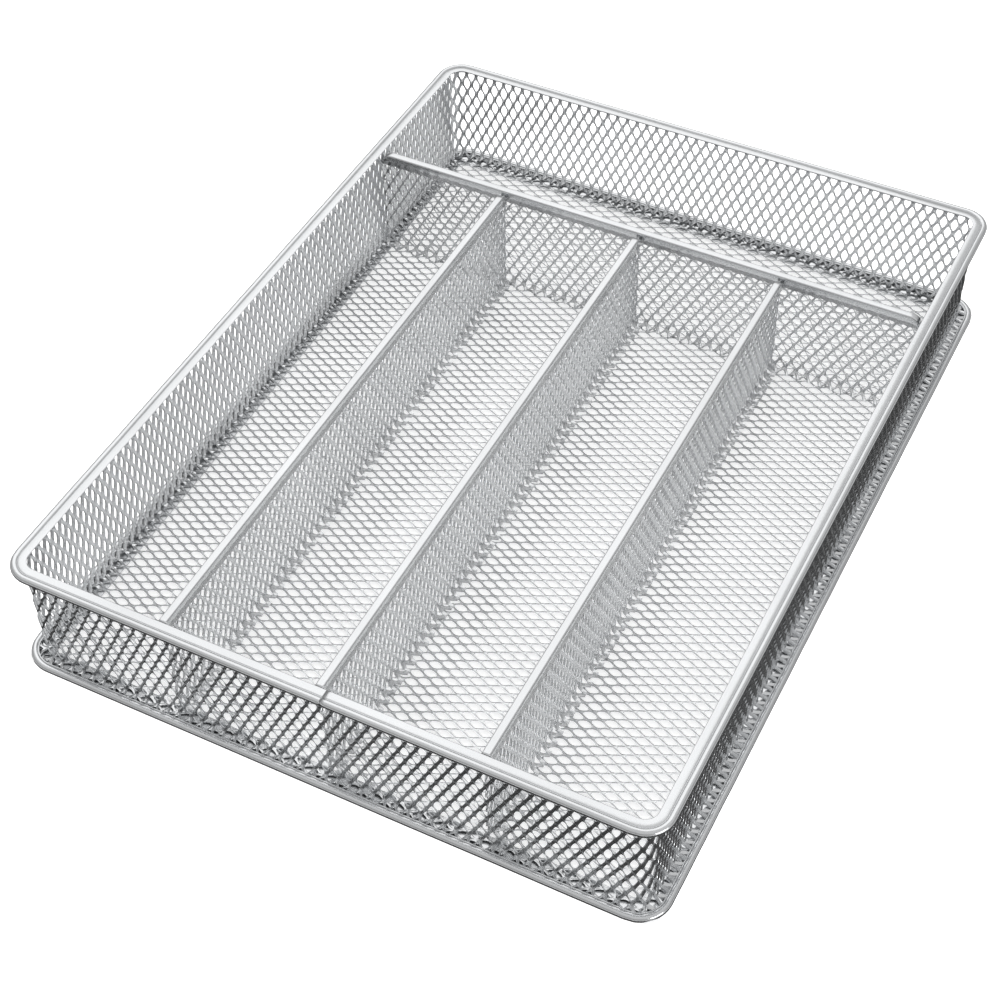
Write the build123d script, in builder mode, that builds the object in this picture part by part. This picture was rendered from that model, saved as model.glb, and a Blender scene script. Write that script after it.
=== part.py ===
from build123d import *
import os

# Mesh drawer organizer insert: four long equal bays at the front, one wide bay behind a cross divider.
# Millimetres, +Z up, origin at the middle of the footprint on the resting face.
# +X runs along the short side, +Y from the front wall to the back wall.

# ---------------------------------------------------------------- overall sizes
overall_width = 237.5         # X, outside of the base ring
overall_length = 317.5        # Y, outside of the base ring
overall_height = 47.5         # Z, resting face to the top of the rim

# ---------------------------------------------------------------- sheet and strip
mesh_thickness = 0.8          # raised thickness of the expanded mesh sheet
strip_thickness = 0.6         # folded steel strip of the rings and caps

# ---------------------------------------------------------------- wall band
base_overhang = 5.5           # base ring beyond the outer face of the wall
rim_overhang = 4.2            # top rim beyond the outer face of the wall
wall_corner_r = 6.0           # plan radius of the wall's outer face
flange_bend_r = 0.5           # bend where the wall turns out into the rings
lip_clearance = 0.5           # gap between a wall flange's edge and the ring's side

# ---------------------------------------------------------------- rings
rim_corner_r = 9.6
rim_side_height = 2.8         # height of the rolled outer side of the rim
rim_inner_lap = 1.4           # rim top reaches this far inboard of the wall's outer face
rim_return = 3.0              # lower return of the rolled rim
rim_round_r = 1.35            # the rolled side is nearly half round
base_corner_r = 8.4
base_leg_inner = 3.5          # lower leg under the floor, inboard of the wall's outer face
base_top_gap = 2.6            # upper flange stops this short of the wall's outer face
base_round_r = 0.9

# ---------------------------------------------------------------- bays
divider_pitch = overall_width * 0.242      # spacing of the three long dividers
cross_divider_y = overall_length * 0.2822  # middle plane of the cross divider
divider_foot = 3.6            # folded foot of a divider panel, on the floor
foot_bend_r = 1.2

# ---------------------------------------------------------------- caps
cap_width = 3.0
cap_skirt = 5.0               # height of the cap's side skirts
cap_drop = 0.3                # long caps sit this far below the rim's top
cross_cap_drop = 0.1
cap_end_r = 4.5               # the cap's ends turn down with this radius
cap_edge_r = 0.45             # long top edges of a cap
end_clearance = 0.15          # gap between a cap's end and what it meets

# ---------------------------------------------------------------- derived
wall_w = overall_width - 2 * base_overhang
wall_l = overall_length - 2 * base_overhang
rim_w = wall_w + 2 * rim_overhang
rim_l = wall_l + 2 * rim_overhang
z_leg = strip_thickness                       # floor mesh lies on the base ring's lower leg
z_floor = z_leg + mesh_thickness              # wall flange lies on the floor mesh
z_flange = z_floor + mesh_thickness           # base ring's upper flange closes the sandwich
z_base_top = z_flange + strip_thickness
z_rim_under = overall_height - strip_thickness
inner_w = wall_w - 2 * mesh_thickness         # clear width between wall faces
inner_l = wall_l - 2 * mesh_thickness


def slab(w, l, r, z0, z1, edge_r=0.0):
    """A plate with rounded plan corners between two heights, its long edges rounded if asked."""
    with BuildPart(mode=Mode.PRIVATE) as b:
        with BuildSketch(Plane.XY.offset(z0)):
            RectangleRounded(w, l, r)
        extrude(amount=z1 - z0)
        if edge_r > 0:
            fillet([e for e in b.edges() if e.bounding_box().size.Z < 1e-4], edge_r)
    return b.part


def block(x0, x1, y0, y1, z0, z1):
    """A box between six planes."""
    with BuildPart(mode=Mode.PRIVATE) as b:
        with Locations(((x0 + x1) / 2, (y0 + y1) / 2, (z0 + z1) / 2)):
            Box(x1 - x0, y1 - y0, z1 - z0)
    return b.part


def rod(y, z, r):
    """A round bar along X."""
    with BuildPart(mode=Mode.PRIVATE) as b:
        with BuildSketch(Plane.YZ):
            with Locations((y, z)):
                Circle(r)
        extrude(amount=20, both=True)
    return b.part


def on_wall(p):
    """True when a plan point lies on the wall's outer face and not on a flange's edge."""
    dx = max(abs(p.X) - (wall_w / 2 - wall_corner_r), 0)
    dy = max(abs(p.Y) - (wall_l / 2 - wall_corner_r), 0)
    return abs((dx * dx + dy * dy) ** 0.5 - wall_corner_r) < 1e-3


# ---------------------------------------------------------------- top rim: rolled C strip
z_rim_low = overall_height - rim_side_height
with BuildPart() as top_rim:
    add(slab(rim_w, rim_l, rim_corner_r, z_rim_low, overall_height, rim_round_r))
    # opening inside the rim
    add(slab(wall_w - 2 * rim_inner_lap, wall_l - 2 * rim_inner_lap, wall_corner_r - rim_inner_lap,
             z_rim_low - 1, overall_height + 1), mode=Mode.SUBTRACT)
    # hollow of the roll, which takes the wall's upper flange
    add(slab(rim_w - 2 * strip_thickness, rim_l - 2 * strip_thickness, rim_corner_r - strip_thickness,
             z_rim_low + strip_thickness, z_rim_under, rim_round_r - strip_thickness), mode=Mode.SUBTRACT)
    # edge of the lower return
    add(slab(rim_w - 2 * rim_return, rim_l - 2 * rim_return, rim_corner_r - rim_return,
             z_rim_low - 1, z_rim_under), mode=Mode.SUBTRACT)
top_rim.part.label = "top_rim"

# ---------------------------------------------------------------- base ring: hem round the mesh edges
with BuildPart() as base_ring:
    add(slab(overall_width, overall_length, base_corner_r, 0, z_base_top, base_round_r))
    # edge of the lower leg, under the floor
    add(slab(wall_w - 2 * base_leg_inner, wall_l - 2 * base_leg_inner, wall_corner_r,
             -1, z_base_top + 1), mode=Mode.SUBTRACT)
    # hollow of the hem, which takes the floor's edge and the wall's lower flange
    add(slab(overall_width - 2 * strip_thickness, overall_length - 2 * strip_thickness,
             base_corner_r - strip_thickness, z_leg, z_flange), mode=Mode.SUBTRACT)
    # edge of the upper flange, beside the wall
    add(slab(wall_w + 2 * base_top_gap, wall_l + 2 * base_top_gap, wall_corner_r + base_top_gap,
             z_leg, z_base_top + 1), mode=Mode.SUBTRACT)
base_ring.part.label = "base_ring"

# ---------------------------------------------------------------- wall band with its two turned-out flanges
lower_out = base_overhang - strip_thickness - lip_clearance
roll_clearance = max(lip_clearance, rim_round_r - strip_thickness + 0.05)
upper_out = rim_overhang - strip_thickness - roll_clearance
lower_flange_r = base_corner_r - strip_thickness
upper_flange_r = rim_corner_r - strip_thickness - roll_clearance
with BuildPart() as wall_mesh:
    add(slab(wall_w, wall_l, wall_corner_r, z_floor, z_rim_under))
    add(slab(wall_w + 2 * lower_out, wall_l + 2 * lower_out, lower_flange_r, z_floor, z_flange))
    add(slab(wall_w + 2 * upper_out, wall_l + 2 * upper_out, upper_flange_r,
             z_rim_under - mesh_thickness, z_rim_under))
    # bends where the band turns out
    for z in (z_flange, z_rim_under - mesh_thickness):
        bends = [e for e in wall_mesh.edges() if e.bounding_box().size.Z < 1e-4
                 and abs(e.center().Z - z) < 1e-4 and on_wall(e.position_at(0.5))]
        fillet(bends, flange_bend_r)
    add(slab(inner_w, inner_l, wall_corner_r - mesh_thickness, z_floor - 1, z_rim_under + 1),
        mode=Mode.SUBTRACT)
wall_mesh.part.label = "wall_mesh"

# ---------------------------------------------------------------- floor sheet, clamped in the base ring
with BuildPart() as floor_mesh:
    add(slab(wall_w + 2 * lower_out, wall_l + 2 * lower_out, lower_flange_r, z_leg, z_floor))
floor_mesh.part.label = "floor_mesh"

# ---------------------------------------------------------------- divider panels and their caps
z_cap = overall_height - cap_drop             # top of the long caps
z_cross_cap = overall_height - cross_cap_drop
panel_top = z_cap - strip_thickness
cross_panel_top = z_cross_cap - strip_thickness
panel_front = -inner_l / 2
panel_back = cross_divider_y - mesh_thickness / 2
foot_top = z_floor + mesh_thickness
notch = divider_foot - mesh_thickness / 2 + end_clearance    # how far the cross divider's foot reaches
cap_front_y = -wall_l / 2 + rim_inner_lap + end_clearance
cap_back_y = cross_divider_y - cap_width / 2 - end_clearance
cross_cap_length = wall_w - 2 * rim_inner_lap - 2 * end_clearance
end_r = min(cap_end_r, cap_skirt - end_clearance)    # the turned-down end is no taller than the skirt
inner_end_r = end_r - strip_thickness
skirt_low = z_cap - cap_skirt - end_clearance


def folded_sheet(length, top, y0):
    """Upright sheet along +Y with its foot turned to the right, starting at y0."""
    with BuildPart(mode=Mode.PRIVATE) as b:
        with BuildSketch(Plane.XZ.offset(-y0)) as s:
            with BuildLine():
                Polyline((-mesh_thickness / 2, z_floor), (divider_foot, z_floor), (divider_foot, foot_top),
                         (mesh_thickness / 2, foot_top), (mesh_thickness / 2, top),
                         (-mesh_thickness / 2, top), close=True)
            make_face()
            fillet(s.vertices().sort_by_distance((mesh_thickness / 2, foot_top))[0], foot_bend_r)
            fillet(s.vertices().sort_by_distance((-mesh_thickness / 2, z_floor))[0], mesh_thickness * 0.8)
        extrude(amount=-length)
    return b.part


def long_panel():
    """Long divider panel from the front wall to the cross divider."""
    with BuildPart(mode=Mode.PRIVATE) as p:
        add(folded_sheet(panel_back - panel_front, panel_top, panel_front))
        # step over the foot of the cross divider
        add(block(-20, 20, panel_back - notch, panel_back + 1, z_floor - 1, foot_top + end_clearance),
            mode=Mode.SUBTRACT)
        add(block(-20, 20, panel_back - foot_bend_r, panel_back + 1, z_floor - 1, foot_top + foot_bend_r),
            mode=Mode.SUBTRACT)
        # stop short of the end wall of its own cap and of the cross cap's skirt
        end_y = cap_back_y - strip_thickness
        add(block(-20, 20, end_y, panel_back + 1, skirt_low, panel_top + 1), mode=Mode.SUBTRACT)
        with BuildPart(mode=Mode.PRIVATE) as corner:
            add(block(-20, 20, end_y - inner_end_r, end_y + 1, panel_top - inner_end_r, panel_top + 1))
            add(rod(end_y - inner_end_r, panel_top - inner_end_r, inner_end_r), mode=Mode.SUBTRACT)
        add(corner.part, mode=Mode.SUBTRACT)
    return p.part


def cap(length, both):
    """Folded channel cap along +Y from y = 0, top at z = 0; its far end turns down, or both ends do."""
    with BuildPart(mode=Mode.PRIVATE) as c:
        with BuildSketch(Plane.YZ) as s:
            with Locations((length / 2, -cap_skirt / 2)):
                Rectangle(length, cap_skirt)
            tops = [v for v in s.vertices() if v.Y > -1e-4 and (both or v.X > length / 2)]
            fillet(tops, end_r)
        extrude(amount=cap_width / 2, both=True)
        fillet([e for e in c.edges().filter_by(Axis.Y) if e.center().Z > -1e-3], cap_edge_r)
        y0 = strip_thickness if both else -1.0
        y1 = length - strip_thickness
        with BuildSketch(Plane.YZ) as s:
            with Locations(((y0 + y1) / 2, -strip_thickness - cap_skirt / 2)):
                Rectangle(y1 - y0, cap_skirt)
            tops = [v for v in s.vertices() if v.Y > -strip_thickness - 1e-4 and (both or v.X > length / 2)]
            fillet(tops, inner_end_r)
        extrude(amount=cap_width / 2 - strip_thickness, both=True, mode=Mode.SUBTRACT)
    return c.part


def placed(shape, location, label):
    """The shape moved to its place and named."""
    result = shape.moved(location)
    result.label = label
    return result


long_cap_length = cap_back_y - cap_front_y
sheet = long_panel()
strip = cap(long_cap_length, False)
left, middle, right = -divider_pitch, 0, divider_pitch
divider_left_mesh = placed(sheet, Pos(left, 0, 0), "divider_left_mesh")
divider_middle_mesh = placed(sheet, Pos(middle, 0, 0), "divider_middle_mesh")
divider_right_mesh = placed(sheet, Pos(right, 0, 0), "divider_right_mesh")
divider_left_cap = placed(strip, Pos(left, cap_front_y, z_cap), "divider_left_cap")
divider_middle_cap = placed(strip, Pos(middle, cap_front_y, z_cap), "divider_middle_cap")
divider_right_cap = placed(strip, Pos(right, cap_front_y, z_cap), "divider_right_cap")

# ---------------------------------------------------------------- cross divider, foot towards the front
with BuildPart() as cross_sheet:
    add(folded_sheet(inner_w, cross_panel_top, -inner_w / 2))
    cross_end = cross_cap_length / 2 - strip_thickness
    for side in (-1, 1):
        y0, y1 = sorted((side * cross_end, side * (inner_w / 2 + 1)))
        low = z_cross_cap - cap_skirt - end_clearance
        add(block(-20, 20, y0, y1, low, cross_panel_top + 1), mode=Mode.SUBTRACT)
        with BuildPart(mode=Mode.PRIVATE) as corner:
            bend_y = side * (cross_end - inner_end_r)
            y0, y1 = sorted((bend_y, side * (cross_end + 1)))
            add(block(-20, 20, y0, y1, cross_panel_top - inner_end_r, cross_panel_top + 1))
            add(rod(bend_y, cross_panel_top - inner_end_r, inner_end_r), mode=Mode.SUBTRACT)
        add(corner.part, mode=Mode.SUBTRACT)
across = Pos(0, cross_divider_y, 0) * Rot(0, 0, -90)
cross_divider_mesh = placed(cross_sheet.part, across, "cross_divider_mesh")
cross_divider_cap = placed(cap(cross_cap_length, True), across * Pos(0, -cross_cap_length / 2, z_cross_cap),
                           "cross_divider_cap")

# ---------------------------------------------------------------- write one file for each piece
os.makedirs("parts", exist_ok=True)
export_step(top_rim.part, "parts/top_rim.step")
export_step(base_ring.part, "parts/base_ring.step")
export_step(wall_mesh.part, "parts/wall_mesh.step")
export_step(floor_mesh.part, "parts/floor_mesh.step")
export_step(divider_left_mesh, "parts/divider_left_mesh.step")
export_step(divider_middle_mesh, "parts/divider_middle_mesh.step")
export_step(divider_right_mesh, "parts/divider_right_mesh.step")
export_step(divider_left_cap, "parts/divider_left_cap.step")
export_step(divider_middle_cap, "parts/divider_middle_cap.step")
export_step(divider_right_cap, "parts/divider_right_cap.step")
export_step(cross_divider_mesh, "parts/cross_divider_mesh.step")
export_step(cross_divider_cap, "parts/cross_divider_cap.step")
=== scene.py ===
import math

import bmesh
import bpy
import numpy as np
from mathutils import Matrix, Vector


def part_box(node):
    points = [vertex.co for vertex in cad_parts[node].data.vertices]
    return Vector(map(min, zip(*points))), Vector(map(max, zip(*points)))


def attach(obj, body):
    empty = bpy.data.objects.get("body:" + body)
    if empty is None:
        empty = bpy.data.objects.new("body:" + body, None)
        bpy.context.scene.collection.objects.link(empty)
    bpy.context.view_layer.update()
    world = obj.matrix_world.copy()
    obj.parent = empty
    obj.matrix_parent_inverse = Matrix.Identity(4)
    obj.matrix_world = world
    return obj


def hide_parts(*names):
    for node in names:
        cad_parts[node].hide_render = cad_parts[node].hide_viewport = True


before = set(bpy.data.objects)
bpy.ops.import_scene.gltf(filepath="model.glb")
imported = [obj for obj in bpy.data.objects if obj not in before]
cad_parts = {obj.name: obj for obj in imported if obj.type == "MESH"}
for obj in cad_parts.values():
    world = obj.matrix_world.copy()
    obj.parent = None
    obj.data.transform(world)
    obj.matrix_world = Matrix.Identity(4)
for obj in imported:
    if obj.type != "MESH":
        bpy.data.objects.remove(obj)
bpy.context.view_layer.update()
MM = 0.001

# ---------------------------------------------------------------- sizes in millimetres, from the frame
WALL_LO, WALL_HI = (np.array(c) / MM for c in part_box("wall_mesh"))
FLOOR_LO, FLOOR_HI = (np.array(c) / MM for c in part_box("floor_mesh"))
SHEET = FLOOR_HI[2] - FLOOR_LO[2]              # raised thickness of the mesh
RIM_LO, RIM_HI = (np.array(c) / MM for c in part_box("top_rim"))
BASE_LO, BASE_HI = (np.array(c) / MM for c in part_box("base_ring"))
CROSS_LO, CROSS_HI = (np.array(c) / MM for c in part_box("cross_divider_mesh"))
STRIP = 0.6
BASE_OVERHANG = 5.5
LEG_INNER = -3.5                                # inner edge of the base ring's lower leg, from the wall
WALL_CORNER = 6.0
FLANGE_BEND = 0.5
FOOT_BEND = 1.2
WALL_HALF_X = BASE_HI[0] - BASE_OVERHANG       # outer faces of the wall
WALL_HALF_Y = BASE_HI[1] - BASE_OVERHANG

# expanded metal: strand stock, the rounding of its edges, and how far each sheet's strands are twisted
STRAND = 0.38
EDGE = 0.1
WALL_TWIST = -0.42
PANEL_TWIST = -0.32
FLOOR_TWIST = 0.22


# ---------------------------------------------------------------- expanded metal
def lattice(nu, nv, half_u, half_v, hole_u, hole_v, power=1.45, pressed=0):
    """Flat diamond lattice. u is the long way of the diamonds and v the short way.

    It is cut along lines through hole centres, nu by nv half cells. The holes of the first few columns, the
    pressed ones, are smaller. Returns the points as rows of (u, v, share of the twist, share of the edge
    rounding), and the triangles."""
    ring = []
    for q in (0, 32, 60, 90):
        ru = hole_u * math.cos(math.radians(q)) ** (2 / power)
        rv = hole_v * math.sin(math.radians(q)) ** (2 / power)
        slope = math.hypot(ru / hole_u ** 2, rv / hole_v ** 2)
        ring.append((ru, rv, ru / hole_u ** 2 / slope, rv / hole_v ** 2 / slope))
    points, index, faces = [], {}, []

    def point(key, u, v, twist, edge=0):
        if key not in index:
            index[key] = len(points)
            points.append((u, v, twist, edge))
        return index[key]

    for i in range(nu + 1):
        for j in range(nv + 1):
            if (i + j) % 2:
                continue
            u, v = i * half_u, j * half_v
            open_share = 0.82 if i < pressed else 1.0
            for su, sv in ((1, 1), (-1, 1), (-1, -1), (1, -1)):
                if not (0 <= i + su <= nu and 0 <= j + sv <= nv):
                    continue
                bond_u = point(("bond", i + su, j), u + su * half_u, v, 0)
                bond_v = point(("bond", i, j + sv), u, v + sv * half_v, 0)
                mid = point(("mid", 2 * i + su, 2 * j + sv), u + su * half_u / 2, v + sv * half_v / 2, 0)
                hole, crest = [], []
                for k, (ru, rv, du, dv) in enumerate(ring):
                    ru, rv = ru * open_share, rv * open_share
                    tag = (i, j, su if k < 3 else 0, sv if k else 0, k)
                    share = sv * min(1, 1.6 * rv / hole_v)
                    hole.append(point(("hole", *tag), u + su * ru, v + sv * rv, share, 1))
                    crest.append(point(("crest", *tag), u + su * (ru + EDGE * du), v + sv * (rv + EDGE * dv),
                                       0.68 * share))
                made = [(bond_u, mid, crest[1]), (bond_u, crest[1], crest[0]), (mid, crest[2], crest[1]),
                        (mid, bond_v, crest[2]), (bond_v, crest[3], crest[2])]
                for k in range(3):
                    made += [(crest[k], crest[k + 1], hole[k + 1]), (crest[k], hole[k + 1], hole[k])]
                faces += made if su * sv > 0 else [f[::-1] for f in made]
    return np.array(points), np.array(faces)


def solid_sheet(name, points, faces, place, material, twist):
    """Gives a flat lattice its thickness and its shape: place maps (u, v) to middle points and normals."""
    middle, normal = place(points[:, 0], points[:, 1])
    lift = points[:, 2:3] * twist
    half = STRAND / 2 - 0.7 * EDGE * points[:, 3:4]
    top = middle + normal * (lift + half)
    bottom = middle + normal * (lift - half)
    n = len(points)
    edges = np.concatenate([faces[:, [0, 1]], faces[:, [1, 2]], faces[:, [2, 0]]])
    key = np.sort(edges, axis=1) @ np.array([n, 1])
    _, first, count = np.unique(key, return_index=True, return_counts=True)
    rim = edges[first[count == 1]]
    sides = np.stack([rim[:, 1], rim[:, 0], rim[:, 0] + n, rim[:, 1] + n], axis=1)
    mesh = bpy.data.meshes.new(name)
    mesh.from_pydata((np.concatenate([top, bottom]) * MM).tolist(), [],
                     faces.tolist() + (faces[:, ::-1] + n).tolist() + sides.tolist())
    mesh.validate()
    mesh.shade_smooth()
    mesh.set_sharp_from_angle(angle=math.radians(25))
    mesh.materials.append(material)
    obj = bpy.data.objects.new(name, mesh)
    bpy.context.scene.collection.objects.link(obj)
    return obj


def folded_profile(runs):
    """A folded line as (offset, height) pairs joined by tangent arcs: returns a function of the length along
    it, giving points and unit tangents. runs is a list of (offset, height, bend radius)."""
    pts = [np.array(r[:2], float) for r in runs]
    pieces = []                                 # each piece: length, kind, data
    start = pts[0]
    for k in range(1, len(pts)):
        d = pts[k] - pts[k - 1]
        d /= np.linalg.norm(d)
        if k < len(pts) - 1:
            e = pts[k + 1] - pts[k]
            e /= np.linalg.norm(e)
            turn = math.acos(max(-1, min(1, float(d @ e))))
            r = runs[k][2]
            cut = r * math.tan(turn / 2)
            end = pts[k] - d * cut
            pieces.append((np.linalg.norm(end - start), "line", (start, d)))
            pieces.append((r * turn, "arc", (end, d, e, r, turn)))
            start = pts[k] + e * cut
        else:
            pieces.append((np.linalg.norm(pts[k] - start), "line", (start, d)))
    total = sum(p[0] for p in pieces)

    def at(u):
        where, along = np.zeros((len(u), 2)), np.zeros((len(u), 2))
        passed = 0.0
        for number, (length, kind, data) in enumerate(pieces):
            last = number == len(pieces) - 1
            on = (u >= passed - 1e-9) & ((u < passed + length) | last)
            s = (u[on] - passed)[:, None]
            if kind == "line":
                where[on], along[on] = data[0] + s * data[1], data[1]
            else:
                begin, d, e, r, turn = data
                side = e - d * (d @ e)
                side /= np.linalg.norm(side)
                where[on] = begin + r * (np.sin(s / r) * d + (1 - np.cos(s / r)) * side)
                along[on] = np.cos(s / r) * d + np.sin(s / r) * side
            passed += length
        return where, along
    return at, total


def round_rectangle(half_x, half_y, radius):
    """A closed rounded rectangle: a function of the length along it, giving points and outward normals."""
    sx, sy, arc = 2 * (half_x - radius), 2 * (half_y - radius), math.pi / 2 * radius
    total = 2 * sx + 2 * sy + 4 * arc

    def at(v):
        v = np.mod(v, total)
        where, out = np.zeros((len(v), 2)), np.zeros((len(v), 2))
        passed = 0.0
        corner = [(half_x, half_y, 0), (-half_x, half_y, 90), (-half_x, -half_y, 180), (half_x, -half_y, 270)]
        for side in range(4):
            run = sy if side % 2 == 0 else sx
            cx, cy, deg = corner[side]
            a0 = math.radians(deg)
            n0 = np.array([math.cos(a0), math.sin(a0)])
            t0 = np.array([-n0[1], n0[0]])
            centre = np.array([cx - math.copysign(radius, cx), cy - math.copysign(radius, cy)])
            begin = centre + n0 * radius - t0 * run
            on = (v >= passed) & (v < passed + run)
            where[on], out[on] = begin + (v[on] - passed)[:, None] * t0, n0
            passed += run
            on = (v >= passed) & (v <= passed + arc)
            q = a0 + (v[on] - passed) / radius
            ring = np.stack([np.cos(q), np.sin(q)], axis=1)
            where[on], out[on] = centre + ring * radius, ring
            passed += arc
        return where, out
    return at, total


def slow_wave(x, y, seed):
    """A few long gentle waves, for sheets that aren't perfectly flat. Between about -1 and 1."""
    rng = np.random.default_rng(seed)
    total = np.zeros_like(x)
    for _ in range(5):
        kx, ky = rng.normal(0, 2 * math.pi / 90, 2)
        total += np.sin(kx * x + ky * y + rng.uniform(0, 6.28))
    return total / 3


# ---------------------------------------------------------------- materials
def powder_coat(name, tone, seed):
    """Silver powder coat: metal flake in a satin coat, with a fine orange peel."""
    m = bpy.data.materials.new(name)
    m.use_nodes = True
    nt = m.node_tree
    nodes, links = nt.nodes, nt.links
    shader = nodes["Principled BSDF"]
    coords = nodes.new("ShaderNodeTexCoord")
    fine = nodes.new("ShaderNodeTexNoise")
    fine.inputs["Scale"].default_value = 900
    fine.inputs["Detail"].default_value = 3
    links.new(coords.outputs["Object"], fine.inputs["Vector"])
    broad = nodes.new("ShaderNodeTexNoise")
    broad.inputs["Scale"].default_value = 22
    broad.inputs["Detail"].default_value = 4
    links.new(coords.outputs["Object"], broad.inputs["Vector"])
    ramp = nodes.new("ShaderNodeMapRange")
    ramp.inputs["From Min"].default_value, ramp.inputs["From Max"].default_value = 0.3, 0.7
    ramp.inputs["To Min"].default_value, ramp.inputs["To Max"].default_value = 0.93, 1.05
    links.new(broad.outputs["Fac"], ramp.inputs["Value"])
    mix = nodes.new("ShaderNodeMix")
    mix.data_type = "RGBA"
    mix.blend_type = "MULTIPLY"
    mix.inputs["Factor"].default_value = 1.0
    mix.inputs["A"].default_value = (*tone, 1)
    links.new(ramp.outputs["Result"], mix.inputs["B"])
    links.new(mix.outputs["Result"], shader.inputs["Base Color"])
    rough = nodes.new("ShaderNodeMapRange")
    rough.inputs["To Min"].default_value, rough.inputs["To Max"].default_value = 0.15, 0.27
    links.new(broad.outputs["Fac"], rough.inputs["Value"])
    links.new(rough.outputs["Result"], shader.inputs["Roughness"])
    shader.inputs["Metallic"].default_value = 0.9
    shader.inputs["Coat Weight"].default_value = 0.15
    shader.inputs["Coat Roughness"].default_value = 0.25
    bump = nodes.new("ShaderNodeBump")
    bump.inputs["Strength"].default_value = 0.25
    bump.inputs["Distance"].default_value = 0.00008
    links.new(fine.outputs["Fac"], bump.inputs["Height"])
    links.new(bump.outputs["Normal"], shader.inputs["Normal"])
    return m


STRIP_PAINT = powder_coat("strip_coat", (0.66, 0.67, 0.68), 1)
MESH_PAINT = powder_coat("mesh_coat", (0.69, 0.70, 0.71), 2)


def settle(obj, node):
    """The piece rides on the body and stands for its CAD node, which is hidden."""
    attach(obj, "root")
    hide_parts(node)


# ---------------------------------------------------------------- wall band
half_x, half_y = WALL_HALF_X - SHEET / 2, WALL_HALF_Y - SHEET / 2
outline, around = round_rectangle(half_x, half_y, WALL_CORNER - SHEET / 2)
low_out = WALL_HI[0] - half_x
up_out = RIM_HI[0] - STRIP - 0.5 - half_x
bend = FLANGE_BEND + SHEET / 2
z_low, z_high = WALL_LO[2] + SHEET / 2, WALL_HI[2] - SHEET / 2
wall_profile, wall_length = folded_profile([(low_out, z_low, 0), (0, z_low, bend), (0, z_high, bend),
                                            (up_out, z_high, 0)])


def on_wall(u, v):
    where, along = wall_profile(u)
    base, out = outline(v)
    swell = 0.12 * slow_wave(base[:, 0] + base[:, 1], where[:, 1] * 2, 5)[:, None]
    middle = np.concatenate([base + out * (where[:, :1] + swell), where[:, 1:]], axis=1)
    normal = np.concatenate([out * along[:, 1:], -along[:, :1]], axis=1)
    return middle, normal


rows = 12
columns = 4 * round(around / 8.6)
half_u, half_v = wall_length / rows, around / columns
for part in range(2):
    points, faces = lattice(rows, columns // 2, half_u, half_v, 2.92, 1.3, 1.35)
    points[:, 1] += part * around / 2
    wall = solid_sheet(("wall_right_back_expanded_mesh", "wall_left_front_expanded_mesh")[part], points, faces,
                       on_wall, MESH_PAINT, WALL_TWIST)
    settle(wall, "wall_mesh")

# ---------------------------------------------------------------- floor sheet, in three parts
size_x, size_y = FLOOR_HI[0] - FLOOR_LO[0] - 0.4, FLOOR_HI[1] - FLOOR_LO[1] - 0.4
FLOOR_CORNER = 7.6
floor_u, floor_v = round(size_x / 4), 2 * round(size_y / 4)
half_u, half_v = size_x / floor_u, size_y / floor_v
z_mid = (FLOOR_LO[2] + FLOOR_HI[2]) / 2


def round_off(a, b):
    """Squeezes the unit square into a quarter disc: the factor for points a, b."""
    return np.where((a > 0) & (b > 0), np.maximum(a, b) / np.maximum(np.hypot(a, b), 1e-9), 1.0)


def on_floor(u, v):
    x, y = u - size_x / 2, v - size_y / 2
    edge_x, edge_y = size_x / 2 - FLOOR_CORNER, size_y / 2 - FLOOR_CORNER
    over_x, over_y = np.maximum(abs(x) - edge_x, 0), np.maximum(abs(y) - edge_y, 0)
    squeeze = 1 - round_off(over_x, over_y)
    x, y = x - np.sign(x) * over_x * squeeze, y - np.sign(y) * over_y * squeeze
    z = z_mid + 0.1 * slow_wave(x, y, 7)
    return np.stack([x, y, z], axis=1), np.tile([0.0, 0.0, 1.0], (len(x), 1))


third = 2 * round(floor_v / 6)
for part, (first, last) in enumerate(((0, third), (third, 2 * third), (2 * third, floor_v))):
    points, faces = lattice(floor_u, last - first, half_u, half_v, 2.54, 1.29)
    points[:, 1] += first * half_v
    sheet = solid_sheet(f"floor_{('front', 'middle', 'back')[part]}_expanded_mesh", points, faces, on_floor,
                        MESH_PAINT, FLOOR_TWIST)
    settle(sheet, "floor_mesh")


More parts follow.
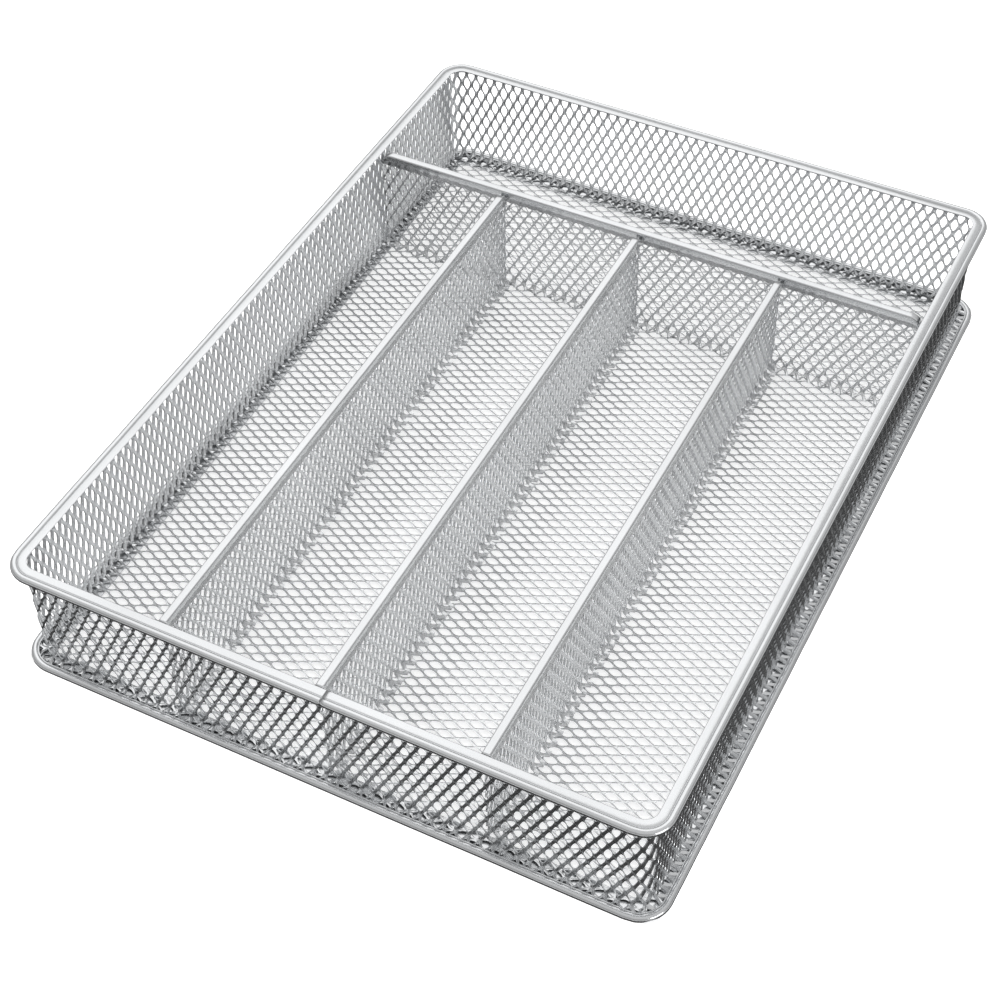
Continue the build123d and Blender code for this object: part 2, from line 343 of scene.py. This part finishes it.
# ---------------------------------------------------------------- divider panels
def panel(name, node, origin, along_axis, foot_axis, length, top, foot, ends, seed):
    """A folded panel. It starts at origin and runs along along_axis; its foot turns towards foot_axis.
    ends says at which ends, (start, far), its top corner is rounded off under the cap."""
    z_foot = FLOOR_HI[2] + SHEET / 2
    profile, total = folded_profile([(foot, z_foot, 0), (0, z_foot, FOOT_BEND + SHEET / 2), (0, top, 0)])
    nu, nv = round(total / 4), round(length / 2.25)
    points, faces = lattice(nu, nv, total / nu, length / nv, 2.95, 1.58, 1.35, pressed=2)
    corner = 3.9

    def place(u, v):
        where, along = profile(u)
        y, z = v.copy(), where[:, 1].copy()
        for end, wanted in zip((0, 1), ends):
            if not wanted:
                continue
            cy = 1.0 + corner if end == 0 else length - 1.0 - corner
            cz = top - corner
            dy, dz = (y - cy) * (-1 if end == 0 else 1), z - cz
            squeeze = round_off(dy, dz)
            y = np.where(dy > 0, cy + (y - cy) * squeeze, y)
            z = np.where(dz > 0, cz + dz * squeeze, z)
        swell = 0.15 * slow_wave(y, z, seed) * np.clip((z - 6) / 10, 0, 1)
        middle = (np.array(origin)[None, :] + y[:, None] * np.array(along_axis)
                  + (where[:, 0] + swell)[:, None] * np.array(foot_axis))
        middle[:, 2] = z
        normal = along[:, 1:] * np.array(foot_axis)[None, :]
        normal[:, 2] = -along[:, 0]
        return middle, normal

    sheet = solid_sheet(name, points, faces, place, MESH_PAINT, PANEL_TWIST)
    if np.dot(np.cross(foot_axis, (0, 0, 1)), along_axis) > 0:
        sheet.data.flip_normals()
    settle(sheet, node)


for number, side in enumerate(("left", "middle", "right")):
    lo, hi = (np.array(c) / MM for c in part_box(f"divider_{side}_mesh"))
    panel(f"divider_{side}_expanded_mesh", f"divider_{side}_mesh", (lo[0] + SHEET / 2, lo[1], 0), (0, 1, 0),
          (1, 0, 0), hi[1] - lo[1], hi[2] - 0.3, hi[0] - lo[0] - SHEET / 2, (False, True), 11 + number)
panel("cross_divider_expanded_mesh", "cross_divider_mesh", (CROSS_LO[0], CROSS_HI[1] - SHEET / 2, 0), (1, 0, 0),
      (0, -1, 0), CROSS_HI[0] - CROSS_LO[0], CROSS_HI[2] - 0.3, CROSS_HI[1] - CROSS_LO[1] - SHEET / 2, (True, True),
      21)

# ---------------------------------------------------------------- rings
def arc(cx, cy, radius, start, stop, steps):
    """Points on an arc, angles in degrees."""
    return [(cx + radius * math.cos(math.radians(q)), cy + radius * math.sin(math.radians(q)))
            for q in np.linspace(start, stop, steps)]


def mesh_object(name, verts, faces, material):
    mesh = bpy.data.meshes.new(name)
    mesh.from_pydata((np.array(verts) * MM).tolist(), [], faces)
    mesh.validate()
    bm = bmesh.new()
    bm.from_mesh(mesh)
    bmesh.ops.recalc_face_normals(bm, faces=bm.faces)
    bm.to_mesh(mesh)
    bm.free()
    mesh.shade_smooth()
    mesh.materials.append(material)
    obj = bpy.data.objects.new(name, mesh)
    bpy.context.scene.collection.objects.link(obj)
    return obj


def ring_strip(name, node, section, outline_at, around, seam, gap, step=2.0, wobble=0.04, seed=3):
    """Sweeps a closed section of (outward offset, height) points once round the outline, from a butt seam."""
    v = [seam + gap / 2]
    while v[-1] < seam + around - gap / 2 - 1e-6:
        here = outline_at(np.array([v[-1] % around]))[1][0]
        straight = abs(here[0]) > 0.9999 or abs(here[1]) > 0.9999
        v.append(min(v[-1] + (step if straight else 0.45), seam + around - gap / 2))
    v = np.array(v)
    base, out = outline_at(v)
    n, m = len(v), len(section)
    section = np.array(section)
    shift = wobble * slow_wave(base[:, 0] * 2, base[:, 1] * 2, seed)
    verts = np.zeros((n, m, 3))
    for k, (d, z) in enumerate(section):
        verts[:, k, :2] = base + out * (d + shift[:, None])
        verts[:, k, 2] = z
    quads = []
    for i in range(n - 1):
        for k in range(m):
            k2 = (k + 1) % m
            quads.append((i * m + k, i * m + k2, (i + 1) * m + k2, (i + 1) * m + k))
    quads.append(tuple(range(m))[::-1])
    quads.append(tuple((n - 1) * m + k for k in range(m)))
    ring = mesh_object(name, verts.reshape(-1, 3), quads, STRIP_PAINT)
    settle(ring, node)
    return ring


wall_outline, wall_around = round_rectangle(WALL_HALF_X, WALL_HALF_Y, WALL_CORNER)
FRONT_SEAM = wall_around - math.pi / 2 * WALL_CORNER - (WALL_HALF_X - WALL_CORNER) + 3
BACK_SEAM = 2 * (WALL_HALF_Y - WALL_CORNER) + math.pi / 2 * WALL_CORNER + WALL_HALF_X


def rim_section():
    """Flat inner strip, a crease, and a rolled bead whose lower return lies under the mesh."""
    top, low = RIM_HI[2], RIM_LO[2]
    outer, inner = RIM_HI[0] - WALL_HALF_X, -1.4
    r = (top - low) / 2
    cx, cz = outer - r, (top + low) / 2
    bead = arc(cx, cz, r, 136, -90, 26)
    inside = arc(cx, cz, r - STRIP, -90, 90, 12)
    flat = [(inner + 0.4, top - STRIP), (inner + 0.1, top - 0.52), (inner + 0.02, top - 0.4),
            (inner + 0.1, top - 0.28), (inner + 0.35, top - 0.22), (cx - 1.45, top - 0.24), (cx - 1.2, top - 0.34),
            (cx - 1.05, top - 0.54)]
    return (flat + bead + [(outer - 3.0, low), (outer - 3.1, low + 0.3), (outer - 3.0, low + STRIP)]
            + inside + [(cx - 0.8, top - STRIP - 0.04)])


def base_section():
    """Flat hem: lower leg under the floor, rolled outer edge, a crease, narrow upper flange on the mesh."""
    outer = BASE_HI[0] - WALL_HALF_X
    top = BASE_HI[2]
    r = top / 2
    edge = arc(outer - r, r, r, 120, -90, 22)
    inside = arc(outer - r, r, r - STRIP, -90, 90, 10)
    return ([(2.62, top - 0.55), (2.7, top - 0.42), (2.85, top - 0.36), (outer - r - 1.02, top - 0.36),
             (outer - r - 0.84, top - 0.52), (outer - r - 0.74, top - 0.9)] + edge
            + [(LEG_INNER + 0.2, 0), (LEG_INNER, 0.12), (LEG_INNER, STRIP - 0.12), (LEG_INNER + 0.2, STRIP)] + inside
            + [(outer - r - 0.5, top - 1.1), (outer - r - 0.9, top - 1.1), (2.85, top - 0.8), (2.68, top - 0.66)])


ring_strip("rim_rolled_strip", "top_rim", rim_section(), wall_outline, wall_around, FRONT_SEAM, 0.05)
ring_strip("base_hem_strip", "base_ring", base_section(), wall_outline, wall_around, BACK_SEAM, 0.2, seed=9)


# ---------------------------------------------------------------- caps
def cap_strip(name, node, axis, seed):
    """Channel strip on a divider. axis is 0 along X or 1 along Y; its far end turns down, on the cross
    divider both do. The lower edge of the skirts follows the mesh in small scallops."""
    lo, hi = (np.array(c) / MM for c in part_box(node))
    long_lo, long_hi = lo[axis], hi[axis]
    mid = (lo[1 - axis] + hi[1 - axis]) / 2
    half, top, low = (hi[1 - axis] - lo[1 - axis]) / 2, hi[2], lo[2]
    r, turn = 0.62, 4.3
    both = axis == 0
    count = max(2, round((long_hi - long_lo) / 0.75))
    along = np.linspace(0, long_hi - long_lo, count + 1)
    length = along[-1]
    outer = ([(-half, None)] + arc(-half + r, -r, r, 180, 90, 6) + arc(half - r, -r, r, 90, 0, 6) + [(half, None)])
    inner_half, ri = half - STRIP, 0.15
    inner = ([(inner_half, None)] + arc(inner_half - ri, -STRIP - ri, ri, 0, 90, 3)
             + arc(-inner_half + ri, -STRIP - ri, ri, 90, 180, 3) + [(-inner_half, None)])
    m = len(outer) + len(inner)
    verts = []
    for s in along:
        drop, closed = 0.0, 0.0
        for wanted, e in ((both, s), (True, length - s)):
            if wanted and e < turn:
                drop = turn - math.sqrt(max(0.0, turn ** 2 - (turn - e) ** 2))
        wave = 0.22 * math.cos(2 * math.pi * s / 4.5 + seed) + 0.06 * math.sin(2 * math.pi * s / 2.1 + seed * 2)
        dip = 0.05 * math.sin(s / 17 + seed)
        for x, z in outer + inner:
            if z is None:
                zz = low + max(0.0, 0.3 + wave)
            else:
                zz = max(top + z - drop + dip * 0.5, low + 0.3)
            verts.append((mid + x, long_lo + s, zz) if axis else (long_lo + s, mid + x, zz))
    faces = []
    for i in range(count):
        for k in range(m):
            k2 = (k + 1) % m
            faces.append((i * m + k, i * m + k2, (i + 1) * m + k2, (i + 1) * m + k))
    faces.append(tuple(range(m)))
    faces.append(tuple(count * m + k for k in range(m)))
    obj = mesh_object(name, verts, faces, STRIP_PAINT)
    settle(obj, node)


cap_strip("divider_left_cap_strip", "divider_left_cap", 1, 0.4)
cap_strip("divider_middle_cap_strip", "divider_middle_cap", 1, 1.9)
cap_strip("divider_right_cap_strip", "divider_right_cap", 1, 3.1)
cap_strip("cross_divider_cap_strip", "cross_divider_cap", 0, 5.2)

# ---------------------------------------------------------------- floor, light and camera
scene = bpy.context.scene
scene.view_settings.view_transform = "Standard"


def paper_sheet(name, half_x, half_y, z, glow):
    """A white paper sheet, with a little glow as on a light table."""
    mesh = bpy.data.meshes.new(name)
    mesh.from_pydata([(-half_x, -half_y, z), (half_x, -half_y, z), (half_x, half_y, z), (-half_x, half_y, z)], [],
                     [(0, 1, 2, 3)])
    sheet = bpy.data.objects.new(name, mesh)
    scene.collection.objects.link(sheet)
    paper = bpy.data.materials.new(name)
    paper.use_nodes = True
    shader = paper.node_tree.nodes["Principled BSDF"]
    shader.inputs["Base Color"].default_value = (0.9, 0.9, 0.9, 1)
    shader.inputs["Roughness"].default_value = 0.9
    shader.inputs["Emission Color"].default_value = (1, 1, 1, 1)
    shader.inputs["Emission Strength"].default_value = glow
    mesh.materials.append(paper)
    return sheet


floor = paper_sheet("studio_floor", 40, 40, -0.0001, 1.0)
paper_sheet("studio_paper_under", 0.117, 0.157, 0, 0.46)

world = bpy.data.worlds.new("studio")
scene.world = world
world.use_nodes = True
sky = world.node_tree
ray = sky.nodes.new("ShaderNodeTexCoord")
split = sky.nodes.new("ShaderNodeSeparateXYZ")
sky.links.new(ray.outputs["Generated"], split.inputs["Vector"])
grade = sky.nodes.new("ShaderNodeValToRGB")
span = sky.nodes.new("ShaderNodeMapRange")
span.inputs["From Min"].default_value, span.inputs["From Max"].default_value = -1, 1
sky.links.new(split.outputs["Z"], span.inputs["Value"])
sky.links.new(span.outputs["Result"], grade.inputs["Fac"])
stops = grade.color_ramp.elements
stops[0].position, stops[0].color = 0.0, (0.02, 0.02, 0.02, 1)
stops[1].position, stops[1].color = 1.0, (0.78, 0.78, 0.78, 1)
for where, value in ((0.3, 0.03), (0.375, 1.0), (0.5, 0.42), (0.62, 0.35), (0.8, 0.7)):
    stop = stops.new(where)
    stop.color = (value, value, value, 1)
shade = sky.nodes["Background"]
sky.links.new(grade.outputs["Color"], shade.inputs["Color"])
shade.inputs["Strength"].default_value = 1.0
floor.visible_glossy = False
floor.visible_diffuse = False


def area_light(name, place, target, size, power):
    data = bpy.data.lights.new(name, "AREA")
    data.shape = "RECTANGLE"
    data.size, data.size_y = size
    data.energy = power
    light = bpy.data.objects.new(name, data)
    light.location = place
    light.rotation_euler = (Vector(target) - Vector(place)).to_track_quat("-Z", "Y").to_euler()
    scene.collection.objects.link(light)


area_light("top_back_left", (-0.6, 0.75, 1.2), (0, 0, 0), (1.6, 1.6), 5.8)
area_light("right_low", (1.2, -0.5, 0.24), (0.1, 0, 0.02), (0.7, 0.4), 4)

EYE = Vector((221.7, -453.7, 531.4)) * MM
YAW, PITCH, ROLL = 0.4817, 0.8258, -0.0179
FOCAL = 1.9793                                  # of the picture's width
forward = Vector((math.sin(-YAW) * math.cos(PITCH), math.cos(YAW) * math.cos(PITCH), -math.sin(PITCH)))
right = forward.cross(Vector((0, 0, 1))).normalized()
up = right.cross(forward)
right2 = right * math.cos(ROLL) + up * math.sin(ROLL)
up2 = up * math.cos(ROLL) - right * math.sin(ROLL)
camera_data = bpy.data.cameras.new("camera")
camera_data.sensor_width = 36
camera_data.lens = 36 * FOCAL
camera = bpy.data.objects.new("camera", camera_data)
scene.collection.objects.link(camera)
camera.matrix_world = Matrix(((right2.x, up2.x, -forward.x, EYE.x), (right2.y, up2.y, -forward.y, EYE.y),
                              (right2.z, up2.z, -forward.z, EYE.z), (0, 0, 0, 1)))
camera_data.clip_start, camera_data.clip_end = 0.01, 120
scene.camera = camera
